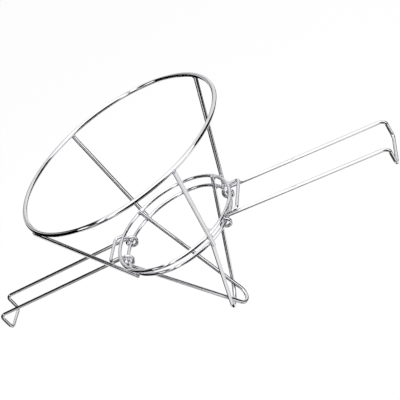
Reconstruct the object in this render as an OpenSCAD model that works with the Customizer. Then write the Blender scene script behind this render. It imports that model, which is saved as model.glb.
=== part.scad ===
// Wire stand that holds a paper filter cone over a pot of used frying oil.
// Every piece is round wire, bent and spot welded. Two handles turn on the
// lower band and reach over the rim of the pot; a guide wire above each
// handle is the stop that takes the load. Origin at the centre of the top
// ring's wire, +Z up along the axis of the cone, millimetres.

/* [Top ring] */
// Diameter of the top ring, measured to the middle of its wire
ring_d = 250; // [180:1:320]
// Wire thickness of the top ring
ring_wire = 5; // [4:0.1:7]

/* [Bands] */
// Height of the upper band below the top ring
upper_drop = 113.3; // [80:0.1:150]
// Height of the lower band below the top ring
lower_drop = 124.2; // [95:0.1:165]
// Diameter of the lower band, measured to the middle of its wire
lower_d = 140.4; // [110:0.2:180]
// Wire thickness of both bands
band_wire = 4.2; // [3.5:0.1:5]

/* [Legs] */
// Wire thickness of the four upper legs
leg_wire = 4.8; // [3.5:0.1:6]
// How far outside the middle of the top ring's wire a leg comes up to it
leg_over = 3; // [1:0.1:4]
// How far a leg hangs below its weld on the lower band
leg_foot = 3; // [0:0.1:8]

/* [Cradle] */
// Wire thickness of the two V wires under the bands
cradle_wire = 4.6; // [3.5:0.1:6]
// Bend radius at the bottom of the V wire that starts on the left
left_bend = 13.1; // [8:0.1:20]
// Bend radius at the bottom of the V wire that starts on the right
right_bend = 20.9; // [12:0.1:24]
// How far a V wire stands above its weld on the upper band
cradle_head = 2; // [0:0.1:6]

/* [Handles] */
// Wire thickness of both handles
handle_wire = 4; // [3:0.1:5]
// Half the distance between the two wires of the narrow handle
narrow_half = 17.5; // [14:0.1:22]
// Half the distance between the two wires of the wide handle
wide_half = 26.6; // [23:0.1:32]
// Reach of the narrow handle from its hinge to its hook
narrow_reach = 192.5; // [150:0.5:240]
// Reach of the wide handle from its hinge to its hook
wide_reach = 197; // [150:0.5:240]
// Slope of the narrow handle where it rests under its guide, in degrees
narrow_slope = 1.2; // [0:0.1:5]
// Slope of the wide handle where it rests under its guide, in degrees
wide_slope = 1.6; // [0:0.1:5]
// Depth of the hook behind the rim of the pot
hook_drop = 23.5; // [15:0.5:45]
// Clear radius inside a hinge eye
eye_inner = 3.7; // [3.5:0.1:5]

/* [Guides] */
// Wire thickness of the two guide wires
guide_wire = 4; // [3:0.1:5]
// Half the width of the narrow handle's guide, to the middle of its wire
narrow_guide = 21; // [18:0.1:26]
// Half the width of the wide handle's guide, to the middle of its wire
wide_guide = 27.5; // [24:0.1:34]
// Distance of the narrow handle's guide bar from the axis of the cone
narrow_guide_out = 87; // [78:0.1:95]
// Distance of the wide handle's guide bar from the axis of the cone
wide_guide_out = 85; // [78:0.1:95]

/* [Hidden] */
$fn = 72;
// depth that a weld presses two wires into each other
set_down = 0.3;
// the same where the V wire that starts on the left meets the upper band
deep_set = 0.65;
// room left round a wire in the seat that its weld leaves
seat = 0.01;
// a leg's top end stops this far short of the ring's middle
leg_short = 0.8;
// gap between a guide's bar and a handle that rests under it
stop_gap = 0.4;
// how much a ball stands out where a straight run meets a bend
knuckle = 0.01;
// how far the wide handle sits toward the back, to clear its front eye
wide_shift = 0.6;
// gap between the first and the last lap of a hinge eye
lap_gap = 0.2;
corner_bend = 6;
guide_bend = 5;

// where each leg stands, in degrees round the cone: at the ring, at the band
leg_a = [221, 224];
leg_b = [131.2, 133.5];
leg_c = [-48.5, -47.8];
leg_d = [44, 39.4];
// where each V wire starts on the upper band, in degrees
left_v = [225.9, 137.1];
right_v = [-43.5, 45.8];
// the point where the two straight sides of a V wire would meet
left_tip = [29.6, 1.4, -292.8];
right_tip = [-29.6, 0.2, -325];

ring_r = ring_d / 2;
lower_r = lower_d / 2;
cone_slope = (ring_r - lower_r) / lower_drop;
upper_r = ring_r - cone_slope * upper_drop;
cone_angle = atan(cone_slope);

leg_off_band = band_wire / 2 + leg_wire / 2 - set_down;
cradle_off = band_wire / 2 + cradle_wire / 2;

eye_r = eye_inner + handle_wire / 2;
eye_pitch = handle_wire + lap_gap;
narrow_hinge = sqrt(pow(lower_r, 2) - pow(narrow_half, 2));
wide_hinge = sqrt(pow(lower_r, 2) - pow(wide_half, 2)) + 0.2;

// directions and points
function unit(v) = v / norm(v);
function across(u, v) = unit(v - u * (u * v));
function turn(u, v) = acos(u * v);
// angles for rotate() that put X on ex and Y on ey
function aim(ex, ey) =
    let(ez = cross(ex, ey))
    norm([ex[0], ex[1]]) < 0.000001
        ? [0, -90 * sign(ex[2]), atan2(-ey[0], ey[1])]
        : [atan2(ey[2], ez[2]), -asin(ex[2]), atan2(ex[1], ex[0])];
function on_cone(r, angle, z) = [r * cos(angle), r * sin(angle), z];
// a point off a ring's wire, square to the cone's side, out or in
function off_ring(r, angle, z, off) =
    on_cone(r + off * cos(cone_angle), angle, z - off * sin(cone_angle));
function past(p, q, more) = q + unit(q - p) * more;
// height of a guide's bar over a handle that slopes away from its hinge
function guide_z(out, hinge, slope) =
    round(100 * (-lower_drop + eye_r / cos(slope) - (out - hinge) * tan(slope)
        + (handle_wire / 2 + guide_wire / 2 + stop_gap) / cos(slope))) / 100;

// a straight run of wire from p to q
module straight(p, q, d) {
    v = q - p;
    translate(p)
        rotate([0, acos(v[2] / norm(v)), atan2(v[1], v[0])])
            cylinder(h = norm(v), d = d);
}

// a ball that makes one solid of the two runs of wire that meet at p
module joint(p, d) {
    translate(p)
        sphere(d = d + 2 * knuckle);
}

// a bend from direction u to direction v round a corner at c
module bend(c, u, v, r, d) {
    n = across(u, v);
    translate(c - u * cut_back(u, v, r) + n * r)
        rotate(aim(-n, u))
            rotate_extrude(angle = turn(u, v))
                translate([r, 0])
                    circle(d = d);
}

function cut_back(u, v, r) = r * tan(turn(u, v) / 2);

// a wire through points p with every corner bent to radius r
module bent_wire(p, r, d) {
    last = len(p) - 1;
    for (i = [0:last - 1]) {
        u = unit(p[i + 1] - p[i]);
        from_cut = i == 0 ? 0 : cut_back(unit(p[i] - p[i - 1]), u, r);
        to_cut = i == last - 1 ? 0 : cut_back(u, unit(p[i + 2] - p[i + 1]), r);
        straight(p[i] + u * from_cut, p[i + 1] - u * to_cut, d);
    }
    for (i = [1:last - 1])
        bend(p[i], unit(p[i] - p[i - 1]), unit(p[i + 1] - p[i]), r, d);
}

// a closed ring of wire round the axis of the cone
module hoop(r, z, d) {
    translate([0, 0, z])
        rotate_extrude()
            translate([r, 0])
                circle(d = d);
}

// half a lap of a hinge eye, moving half a pitch toward the front
module half_lap(from_angle) {
    lap_r = norm([eye_r, eye_pitch / 4]);
    lean = atan(eye_pitch / 4 / eye_r);
    rotate([0, from_angle, 0])
        translate([0, -eye_pitch / 4, 0])
            rotate([-lean, 0, 0])
                rotate([0, -90, 0])
                    rotate([90, 0, 0])
                        rotate_extrude(angle = 180)
                            translate([lap_r, 0])
                                circle(d = handle_wire);
}

// one lap round the lower band, from the top inward, under and back up
module eye() {
    half_lap(0);
    translate([0, -eye_pitch / 2, 0])
        half_lap(180);
    joint([0, 0, eye_r], handle_wire);
    joint([0, -eye_pitch / 2, -eye_r], handle_wire);
}

// an upper leg at full length, before its top end is shaped
module leg_shape(a, d) {
    head = off_ring(ring_r, a[0], 0, leg_over);
    foot = off_ring(lower_r, a[1], -lower_drop, leg_off_band);
    straight(past(foot, head, -leg_short), past(head, foot, leg_foot), d);
}

// an upper leg, its top end shaped to the underside of the top ring
module leg(a) {
    difference() {
        leg_shape(a, leg_wire);
        hoop(ring_r, 0, ring_wire + 2 * seat);
    }
}

// a V wire from one weld on the upper band down to its tip and back up
module v_shape(v, tip, bend_r, sink, d) {
    a = off_ring(upper_r, v[0], -upper_drop, sink - cradle_off);
    b = off_ring(upper_r, v[1], -upper_drop, sink - cradle_off);
    cut = cut_back(unit(tip - a), unit(b - tip), bend_r);
    bent_wire([past(tip, a, cradle_head), tip, past(tip, b, cradle_head)], bend_r, d);
    joint(tip + unit(a - tip) * cut, d);
    joint(tip + unit(b - tip) * cut, d);
}

module all_legs(extra) {
    leg_shape(leg_a, leg_wire + extra);
    leg_shape(leg_b, leg_wire + extra);
    leg_shape(leg_c, leg_wire + extra);
    leg_shape(leg_d, leg_wire + extra);
}

module all_cradles(extra) {
    v_shape(left_v, left_tip, left_bend, deep_set, cradle_wire + extra);
    v_shape(right_v, right_tip, right_bend, set_down, cradle_wire + extra);
}

// the pieces, one module for each node
module top_ring() {
    color("silver")
        hoop(ring_r, 0, ring_wire);
}

module upper_band() {
    color("silver")
        difference() {
            hoop(upper_r, -upper_drop, band_wire);
            all_legs(2 * seat);
            all_cradles(2 * seat);
        }
}

module lower_band() {
    color("silver")
        difference() {
            hoop(lower_r, -lower_drop, band_wire);
            all_legs(2 * seat);
            all_cradles(2 * seat);
        }
}

module leg_front_left() {
    color("gainsboro")
        leg(leg_a);
}

module leg_back_left() {
    color("gainsboro")
        leg(leg_b);
}

module leg_front_right() {
    color("gainsboro")
        leg(leg_c);
}

module leg_back_right() {
    color("gainsboro")
        leg(leg_d);
}

module cradle_wire_left() {
    color("lightgrey")
        v_shape(left_v, left_tip, left_bend, deep_set, cradle_wire);
}

module cradle_wire_right() {
    color("lightgrey")
        v_shape(right_v, right_tip, right_bend, set_down, cradle_wire);
}

// a guide wire over a handle, both ends shaped to the upper band
module guide(side, half, out, z) {
    root = floor(sqrt(pow(upper_r, 2) - pow(half, 2)));
    difference() {
        bent_wire([[side * root, half, z],
                   [side * out, half, z],
                   [side * out, -half, z],
                   [side * root, -half, z]], guide_bend, guide_wire);
        hoop(upper_r, -upper_drop, band_wire + 2 * seat);
        translate([0, 0, -upper_drop - band_wire])
            cylinder(r = upper_r, h = 2 * band_wire);
    }
}

module guide_narrow() {
    color("darkgrey")
        guide(-1, narrow_guide, narrow_guide_out,
              guide_z(narrow_guide_out, narrow_hinge, narrow_slope));
}

module guide_wide() {
    color("darkgrey")
        guide(1, wide_guide, wide_guide_out,
              guide_z(upper_r, wide_hinge, wide_slope));
}

// a handle that reaches along X, its hinge axis along Y through the origin
module handle(half, reach) {
    bent_wire([[0, half, eye_r],
               [reach, half, eye_r],
               [reach, half, eye_r - hook_drop],
               [reach, -half, eye_r - hook_drop],
               [reach, -half, eye_r],
               [0, -half, eye_r]], corner_bend, handle_wire);
    translate([0, half, 0])
        eye();
    translate([0, -half, 0])
        eye();
}

module handle_narrow() {
    color("whitesmoke")
        translate([-narrow_hinge, 0, -lower_drop])
            mirror([1, 0, 0])
                rotate([0, narrow_slope, 0])
                    handle(narrow_half, narrow_reach);
}

module handle_wide() {
    color("whitesmoke")
        translate([wide_hinge, wide_shift, -lower_drop])
            rotate([0, wide_slope, 0])
                handle(wide_half, wide_reach);
}

top_ring();
upper_band();
lower_band();
leg_front_left();
leg_back_left();
leg_front_right();
leg_back_right();
cradle_wire_left();
cradle_wire_right();
guide_narrow();
guide_wide();
handle_narrow();
handle_wide();
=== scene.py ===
import math
import bpy
import bmesh
from mathutils import Matrix, Vector
from mathutils import noise as lumps
from mathutils.bvhtree import BVHTree


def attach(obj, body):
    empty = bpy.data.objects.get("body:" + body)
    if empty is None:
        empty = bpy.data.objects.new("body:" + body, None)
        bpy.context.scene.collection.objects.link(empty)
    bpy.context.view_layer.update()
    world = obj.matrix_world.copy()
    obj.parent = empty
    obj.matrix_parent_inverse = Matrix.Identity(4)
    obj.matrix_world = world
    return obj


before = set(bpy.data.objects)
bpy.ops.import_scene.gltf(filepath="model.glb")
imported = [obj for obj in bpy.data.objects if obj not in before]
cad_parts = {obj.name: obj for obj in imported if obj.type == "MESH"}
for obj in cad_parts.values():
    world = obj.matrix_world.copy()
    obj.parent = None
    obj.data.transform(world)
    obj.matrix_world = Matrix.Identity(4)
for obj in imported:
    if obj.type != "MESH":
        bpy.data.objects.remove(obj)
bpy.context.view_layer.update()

# the camera, at the photograph's viewing angle and with the same roll
CAMERA_AT = Vector((0.4622, -0.8936, 0.4404))
CAMERA_LOOKS = Vector((-0.3721, 0.7936, -0.4813))
CAMERA_UP = Vector((0.3883, 0.6046, 0.6954))
SENSOR_MM = 36
LENS_MM = 90
CLIP_FROM = 0.01
CLIP_TO = 100

# chrome plating: the colours of its thick and thin clouds, how rough it is where it is well and
# badly polished, and how high the drawn wire under it waves, in metres
PLATING_THICK = (0.90, 0.892, 0.922, 1)
PLATING_THIN = (0.84, 0.834, 0.866, 1)
POLISH = (0.03, 0.07)
WAVE_HEIGHT = 0.000008
# the same plating over melted wire, with the depth of its pits
STAIN_LIGHT = (0.80, 0.79, 0.81, 1)
STAIN_DARK = (0.55, 0.54, 0.55, 1)
STAIN_POLISH = (0.12, 0.35)
PIT_DEPTH = 0.0001
PIT_STRENGTH = 0.8

# the stand hangs by its hooks, so the floor is well under it
FLOOR_Z = -0.5
FLOOR_SIZE = 40
FLOOR_COLOR = (0.97, 0.97, 0.97, 1)
# how far the camera sees the floor as plain white; the rest shows its light and shadow
FLOOR_WHITE = 0.86

# light on the floor and on anything dull: an even white room and one soft lamp
ROOM_LEVEL = 0.75
LAMP_AT = Vector((-0.9, -1.1, 1.9))
LAMP_SIZE = 1.6
LAMP_WATTS = 40

# What the wire mirrors: a white tent with a pale floor, a dark gap and grey walls. Angles are in
# degrees. The last two numbers of each wall, strip, seam and disc are its grey and its soft edge.
TENT_LEVEL = 1.3
# azimuth, half width, elevation, half height
TENT_WALLS = (
    (0, 200, -64, 30, 0.92, 8),
    (60, 55, 22, 50, 0.82, 12),
    (148, 20, 14, 36, 0.70, 10),
    (165, 60, -68, 15, 0.0, 8),
    (60, 50, -55, 18, 0.75, 8),
)
# the dark room seen through the open front: azimuth, lower and upper elevation
TENT_GAP = (
    (-180, -38, 54), (-168, -38, 50), (-158, -37, 42), (-148, -38, 28), (-140, -40, 16),
    (-130, -44, 10), (-120, -48, 10), (-110, -50, 12), (-102, -48, 16), (-94, -48, 26),
    (-85, -46, 34), (-70, -42, 42), (-55, -36, 40), (-48, -32, 28), (-42, -25, 2),
    (-35, -22, -10), (-25, -22, -13), (-12, -23, -13), (-4, -27, 0), (0, -33, 22),
    (10, -40, 34), (22, -44, 34), (32, -44, 22), (37, -43, 8), (42, -41, 0),
    (55, -35, -7), (75, -28, -14), (95, -27, -20), (110, -27, -24), (125, -38, -16),
    (142, -40, -6), (150, -40, 15), (158, -39, 38), (168, -38, 52), (180, -38, 54),
)
TENT_GAP_SOFT = 4
# strips of cloth over the gap: azimuth, half width, elevation, half height
TENT_STRIPS = (
    (-104, 4, 26, 24, 1.30, 5),
    (-105, 3, -26, 27, 0.80, 5),
    (113, 6, -5, 45, 1.00, 4),
    (104, 3, 0, 36, 0.40, 3),
)
# curved seams round the left end of the tent: angle from the left, half width, lowest elevation,
# and between which leans toward the back they run, -1 the front and 1 the back
TENT_SEAMS = (
    (57, 6, -12, -0.3, 1, 0.0, 4),
    (56.5, 4, -26, -1, -0.3, 0.6, 4),
    (56.5, 4, 12, -1, -0.3, 0.0, 4),
    (69, 1.5, 10, -1, 1, 0.5, 3),
)
# how softly a seam starts above its lowest elevation, in degrees, and ends at its leans
SEAM_START_SOFT = 4
SEAM_END_SOFT = 0.1
# dark things on the floor: azimuth, elevation, half width
TENT_DISCS = (
    (-50, -52, 14, 0.0, 8),
    (-84, -58, 9, 0.0, 8),
    (130, -80, 20, 0.0, 8),
)

# Welded joints: wires closer than the reach touch, and touching points closer than the next
# length are one joint
WELD_REACH = 0.0006
WELD_APART = 0.012
# a joint's bead of melted wire: its radius and half its thickness
WELD_RADIUS = 0.0031
WELD_HALF = 0.0011
# a guide's bead is smaller, and moved aside by this much, away from the folding handle
GUIDE_WELD_RADIUS = 0.0020
GUIDE_WELD_ASIDE = 0.0010
# how much a bead's outline and thickness vary, how closely, and what sets one bead off the next
WELD_RIM_UNEVEN = 0.3
WELD_RIM_WAVES = 1.7
WELD_LUMP_UNEVEN = 0.4
WELD_LUMP_WAVES = 2.5
WELD_SEED_STEP = 3.7
LEGS = ("leg_front_left", "leg_back_left", "leg_front_right", "leg_back_right")
CRADLE = ("cradle_wire_left", "cradle_wire_right")
BANDS = ("upper_band", "lower_band")
GUIDES = ("guide_narrow", "guide_wide")

scene = bpy.context.scene


def make_camera():
    data = bpy.data.cameras.new("camera")
    data.sensor_width = SENSOR_MM
    data.lens = LENS_MM
    data.clip_start = CLIP_FROM
    data.clip_end = CLIP_TO
    back = -CAMERA_LOOKS.normalized()
    right = CAMERA_UP.cross(back).normalized()
    up = back.cross(right)
    cam = bpy.data.objects.new("camera", data)
    turn = Matrix((right, up, back)).transposed()
    cam.matrix_world = Matrix.Translation(CAMERA_AT) @ turn.to_4x4()
    scene.collection.objects.link(cam)
    scene.camera = cam


def maths(tree, operation, a, b=0.0):
    node = tree.nodes.new("ShaderNodeMath")
    node.operation = operation
    for socket, value in zip(node.inputs, (a, b)):
        if isinstance(value, (int, float)):
            socket.default_value = value
        else:
            tree.links.new(value, socket)
    return node.outputs["Value"]


def ramp(tree, value, low, high, to_low=0.0, to_high=1.0, shape="SMOOTHSTEP"):
    node = tree.nodes.new("ShaderNodeMapRange")
    node.interpolation_type = shape
    node.inputs["From Min"].default_value = low
    node.inputs["From Max"].default_value = high
    node.inputs["To Min"].default_value = to_low
    node.inputs["To Max"].default_value = to_high
    tree.links.new(value, node.inputs["Value"])
    return node.outputs["Result"]


def noise(tree, where, scale, detail, roughness=0.5):
    node = tree.nodes.new("ShaderNodeTexNoise")
    node.inputs["Scale"].default_value = scale
    node.inputs["Detail"].default_value = detail
    node.inputs["Roughness"].default_value = roughness
    tree.links.new(where, node.inputs["Vector"])
    return node.outputs["Fac"]


class Metal:
    """A metal whose colour, polish and surface follow noise textures.

    Where a texture goes from low to high, the metal goes from the first look to the second.
    """

    def __init__(self, name):
        self.material = bpy.data.materials.new(name)
        self.material.use_nodes = True
        self.tree = self.material.node_tree
        self.shader = self.tree.nodes["Principled BSDF"]
        self.shader.inputs["Metallic"].default_value = 1.0
        self.where = self.tree.nodes.new("ShaderNodeTexCoord").outputs["Object"]

    def noise(self, scale, detail, roughness=0.5):
        return noise(self.tree, self.where, scale, detail, roughness)

    def tint(self, texture, low, high, first, second):
        mix = self.tree.nodes.new("ShaderNodeMix")
        mix.data_type = "RGBA"
        mix.inputs["A"].default_value = first
        mix.inputs["B"].default_value = second
        share = ramp(self.tree, texture, low, high, shape="LINEAR")
        self.tree.links.new(share, mix.inputs["Factor"])
        self.tree.links.new(mix.outputs["Result"], self.shader.inputs["Base Color"])

    def polish(self, texture, low, high, limits):
        rough = ramp(self.tree, texture, low, high, *limits, shape="LINEAR")
        self.tree.links.new(rough, self.shader.inputs["Roughness"])

    def relief(self, texture, height, strength=1.0):
        bump = self.tree.nodes.new("ShaderNodeBump")
        bump.inputs["Strength"].default_value = strength
        bump.inputs["Distance"].default_value = height
        self.tree.links.new(texture, bump.inputs["Height"])
        self.tree.links.new(bump.outputs["Normal"], self.shader.inputs["Normal"])


def chrome_wire():
    metal = Metal("chrome_wire")
    # thick and thin plating: faint clouds a few centimetres long
    clouds = metal.noise(scale=45, detail=3)
    metal.tint(clouds, 0.4, 0.65, PLATING_THICK, PLATING_THIN)
    # polish varies along the wire, with duller handled spots
    haze = metal.noise(scale=90, detail=5, roughness=0.65)
    metal.polish(haze, 0.35, 0.75, POLISH)
    # the wire under the plating was drawn and straightened, so it waves a little
    waves = metal.noise(scale=160, detail=2)
    metal.relief(waves, WAVE_HEIGHT)
    return metal.material


def weld_chrome():
    """The same plating over melted wire, which is duller and pitted."""
    metal = Metal("weld_chrome")
    stain = metal.noise(scale=500, detail=4, roughness=0.6)
    metal.tint(stain, 0.45, 0.7, STAIN_LIGHT, STAIN_DARK)
    metal.polish(stain, 0.3, 0.7, STAIN_POLISH)
    pits = metal.noise(scale=1400, detail=3)
    metal.relief(pits, PIT_DEPTH, PIT_STRENGTH)
    return metal.material


def surface(name):
    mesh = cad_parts[name].data
    return BVHTree.FromPolygons([v.co for v in mesh.vertices], [p.vertices for p in mesh.polygons])


def meetings(first, second):
    """The middle of each place where two wires touch, and the way from the first to the second."""
    places = []
    for name, other, sign in ((first, second, 1), (second, first, -1)):
        skin = surface(other)
        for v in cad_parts[name].data.vertices:
            hit = skin.find_nearest(v.co, WELD_REACH)[0]
            if hit is None:
                continue
            touch = ((v.co + hit) / 2, sign * v.normal)
            near = [place for place in places if (place[0][0] - touch[0]).length < WELD_APART]
            if near:
                near[0].append(touch)
            else:
                places.append([touch])
    for place in places:
        points, normals = zip(*place)
        yield sum(points, Vector()) / len(place), sum(normals, Vector()).normalized()


def add_bead(mesh, middle, normal, radius, seed):
    """A flattened lump between two wires, square to the way from one to the other."""
    turn = normal.to_track_quat("Z", "Y")
    for v in bmesh.ops.create_icosphere(mesh, subdivisions=3, radius=1)["verts"]:
        outline = lumps.noise(Vector((v.co.x, v.co.y, seed)) * WELD_RIM_WAVES)
        thickness = lumps.noise(v.co * WELD_LUMP_WAVES + Vector((seed, 0, 0)))
        reach = radius * (1 + WELD_RIM_UNEVEN * outline)
        half = WELD_HALF * (1 + WELD_LUMP_UNEVEN * thickness)
        v.co = middle + turn @ Vector((v.co.x * reach, v.co.y * reach, v.co.z * half))


def make_welds():
    joints = [(leg, other) for leg in LEGS for other in ("top_ring",) + BANDS]
    joints += [(wire, band) for wire in CRADLE for band in BANDS]
    mesh = bmesh.new()
    seed = 0.0
    for pair in joints:
        for middle, normal in meetings(*pair):
            seed += WELD_SEED_STEP
            add_bead(mesh, middle, normal, WELD_RADIUS, seed)
    for guide in GUIDES:
        for middle, normal in meetings(guide, "upper_band"):
            seed += WELD_SEED_STEP
            middle.y += math.copysign(GUIDE_WELD_ASIDE, middle.y)
            add_bead(mesh, middle, normal, GUIDE_WELD_RADIUS, seed)
    for face in mesh.faces:
        face.smooth = True
    data = bpy.data.meshes.new("weld_beads")
    mesh.to_mesh(data)
    mesh.free()
    data.materials.append(weld_chrome())
    beads = bpy.data.objects.new("weld_beads", data)
    scene.collection.objects.link(beads)
    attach(beads, "stand")


def make_floor():
    bpy.ops.mesh.primitive_plane_add(size=FLOOR_SIZE, location=(0, 0, FLOOR_Z))
    floor = bpy.context.object
    floor.name = "floor"
    mat = bpy.data.materials.new("floor")
    mat.use_nodes = True
    tree = mat.node_tree
    shader = tree.nodes["Principled BSDF"]
    shader.inputs["Base Color"].default_value = FLOOR_COLOR
    shader.inputs["Roughness"].default_value = 1.0
    shader.inputs["Specular IOR Level"].default_value = 0.0
    white = tree.nodes.new("ShaderNodeEmission")
    ray = tree.nodes.new("ShaderNodeLightPath")
    both = tree.nodes.new("ShaderNodeMixShader")
    share = maths(tree, "MULTIPLY", ray.outputs["Is Camera Ray"], FLOOR_WHITE)
    tree.links.new(share, both.inputs["Fac"])
    tree.links.new(shader.outputs["BSDF"], both.inputs[1])
    tree.links.new(white.outputs["Emission"], both.inputs[2])
    tree.links.new(both.outputs["Shader"], tree.nodes["Material Output"].inputs["Surface"])
    floor.data.materials.append(mat)
    floor.visible_glossy = False


def toward(azimuth, elevation):
    """The direction at two angles in degrees."""
    a, e = math.radians(azimuth), math.radians(elevation)
    return (math.cos(a) * math.cos(e), math.sin(a) * math.cos(e), math.sin(e))


def lean(tree, where, direction):
    """The cosine of the angle between the ray and a direction."""
    node = tree.nodes.new("ShaderNodeVectorMath")
    node.operation = "DOT_PRODUCT"
    node.inputs[1].default_value = direction
    tree.links.new(where, node.inputs[0])
    return node.outputs["Value"]


def within(tree, where, direction, half, soft):
    """1 where the ray points within half a width of a direction, 0 outside the soft edge."""
    outer = math.cos(math.radians(min(half + soft / 2, 180)))
    inner = math.cos(math.radians(max(half - soft / 2, 0.5)))
    return ramp(tree, lean(tree, where, direction), outer, inner)


def band(tree, value, middle, half, soft):
    """1 where a value is within half a width of the middle, 0 outside the soft edge."""
    off = maths(tree, "ABSOLUTE", maths(tree, "SUBTRACT", value, middle))
    return ramp(tree, maths(tree, "SUBTRACT", half + soft / 2, off), 0, soft)


def panel(tree, flat, elevation, azimuth, half, middle, half_height, soft):
    """An upright stretch of cloth, or a whole ring of it where half its width is over 180."""
    mask = band(tree, elevation, middle, half_height, soft)
    if half >= 180:
        return mask
    return maths(tree, "MULTIPLY", mask, within(tree, flat, toward(azimuth, 0), half, soft))


def edge(tree, azimuth, column):
    """The gap's lower or upper elevation at an azimuth, from the points of TENT_GAP."""
    node = tree.nodes.new("ShaderNodeFloatCurve")
    curve = node.mapping.curves[0]
    spots = [((point[0] + 180) / 360, (point[column] + 90) / 180) for point in TENT_GAP]
    first, *between, last = spots
    curve.points[0].location = first
    curve.points[1].location = last
    for spot in between:
        curve.points.new(*spot)
    for point in curve.points:
        point.handle_type = "VECTOR"
    node.mapping.update()
    along = maths(tree, "DIVIDE", maths(tree, "ADD", azimuth, 180), 360)
    tree.links.new(along, node.inputs["Value"])
    return maths(tree, "SUBTRACT", maths(tree, "MULTIPLY", node.outputs["Value"], 180), 90)


def gap(tree, azimuth, elevation):
    """1 between the lower and the upper edge of the dark gap."""
    over = maths(tree, "SUBTRACT", elevation, edge(tree, azimuth, 1))
    under = maths(tree, "SUBTRACT", edge(tree, azimuth, 2), elevation)
    soft = TENT_GAP_SOFT / 2
    return maths(tree, "MULTIPLY", ramp(tree, over, -soft, soft), ramp(tree, under, -soft, soft))


def seam(tree, where, elevation, angle, half, lowest, front, back, soft):
    """An arc of a cone round the left, above an elevation and between two leans to the back."""
    from_left = maths(tree, "DEGREES", maths(tree, "ARCCOSINE", lean(tree, where, (-1, 0, 0))))
    mask = band(tree, from_left, angle, half, soft)
    start = SEAM_START_SOFT / 2
    mask = maths(tree, "MULTIPLY", mask, ramp(tree, elevation, lowest - start, lowest + start))
    to_back = lean(tree, where, (0, 1, 0))
    part = band(tree, to_back, (front + back) / 2, (back - front) / 2, SEAM_END_SOFT)
    return maths(tree, "MULTIPLY", mask, part)


def flattened(tree, where):
    """The ray's direction seen from above, at length 1."""
    level = tree.nodes.new("ShaderNodeVectorMath")
    level.operation = "MULTIPLY"
    level.inputs[1].default_value = (1, 1, 0)
    tree.links.new(where, level.inputs[0])
    flat = tree.nodes.new("ShaderNodeVectorMath")
    flat.operation = "NORMALIZE"
    tree.links.new(level.outputs["Vector"], flat.inputs[0])
    return flat.outputs["Vector"]


def tent_masks(tree):
    """The patches of the tent, each covering those before it: where it lies, and its grey."""
    where = tree.nodes.new("ShaderNodeTexCoord").outputs["Generated"]
    split = tree.nodes.new("ShaderNodeSeparateXYZ")
    tree.links.new(where, split.inputs["Vector"])
    elevation = maths(tree, "DEGREES", maths(tree, "ARCSINE", split.outputs["Z"]))
    azimuth = maths(tree, "DEGREES", maths(tree, "ARCTAN2", split.outputs["Y"], split.outputs["X"]))
    flat = flattened(tree, where)
    masks = []
    for *place, grey, soft in TENT_WALLS:
        masks.append((panel(tree, flat, elevation, *place, soft), grey))
    masks.append((gap(tree, azimuth, elevation), 0.0))
    for *place, grey, soft in TENT_STRIPS:
        masks.append((panel(tree, flat, elevation, *place, soft), grey))
    for *place, grey, soft in TENT_SEAMS:
        masks.append((seam(tree, where, elevation, *place, soft), grey))
    for spot, middle, half, grey, soft in TENT_DISCS:
        masks.append((within(tree, where, toward(spot, middle), half, soft), grey))
    return masks


def blend(tree, share, a, b):
    """The value a, turning into b as the share goes from 0 to 1."""
    mix = tree.nodes.new("ShaderNodeMix")
    mix.data_type = "FLOAT"
    for name, value in (("Factor", share), ("A", a), ("B", b)):
        if isinstance(value, (int, float)):
            mix.inputs[name].default_value = value
        else:
            tree.links.new(value, mix.inputs[name])
    return mix.outputs["Result"]


def tent_level(tree):
    level = TENT_LEVEL
    for mask, grey in tent_masks(tree):
        level = blend(tree, mask, level, grey)
    return level


def make_world():
    world = bpy.data.worlds.new("studio")
    scene.world = world
    world.use_nodes = True
    tree = world.node_tree
    out = tree.nodes["World Output"]
    room = tree.nodes["Background"]
    tent = tree.nodes.new("ShaderNodeBackground")
    tree.links.new(tent_level(tree), tent.inputs["Color"])
    ray = tree.nodes.new("ShaderNodeLightPath")
    # the camera sees plain white, dull surfaces get an even room, polished ones see the tent
    room.inputs["Color"].default_value = (1, 1, 1, 1)
    level = blend(tree, ray.outputs["Is Camera Ray"], ROOM_LEVEL, 1.0)
    tree.links.new(level, room.inputs["Strength"])
    both = tree.nodes.new("ShaderNodeMixShader")
    tree.links.new(ray.outputs["Is Glossy Ray"], both.inputs["Fac"])
    tree.links.new(room.outputs["Background"], both.inputs[1])
    tree.links.new(tent.outputs["Background"], both.inputs[2])
    tree.links.new(both.outputs["Shader"], out.inputs["Surface"])


def make_lamp():
    data = bpy.data.lights.new("soft_lamp", "AREA")
    data.shape = "DISK"
    data.size = LAMP_SIZE
    data.energy = LAMP_WATTS
    lamp = bpy.data.objects.new("soft_lamp", data)
    lamp.location = LAMP_AT
    lamp.rotation_mode = "QUATERNION"
    lamp.rotation_quaternion = (-LAMP_AT).to_track_quat("-Z", "Y")
    lamp.visible_glossy = False
    scene.collection.objects.link(lamp)


make_camera()
wire = chrome_wire()
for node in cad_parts.values():
    node.data.materials.clear()
    node.data.materials.append(wire)
make_welds()
make_floor()
make_world()
make_lamp()
scene.view_settings.view_transform = "Standard"
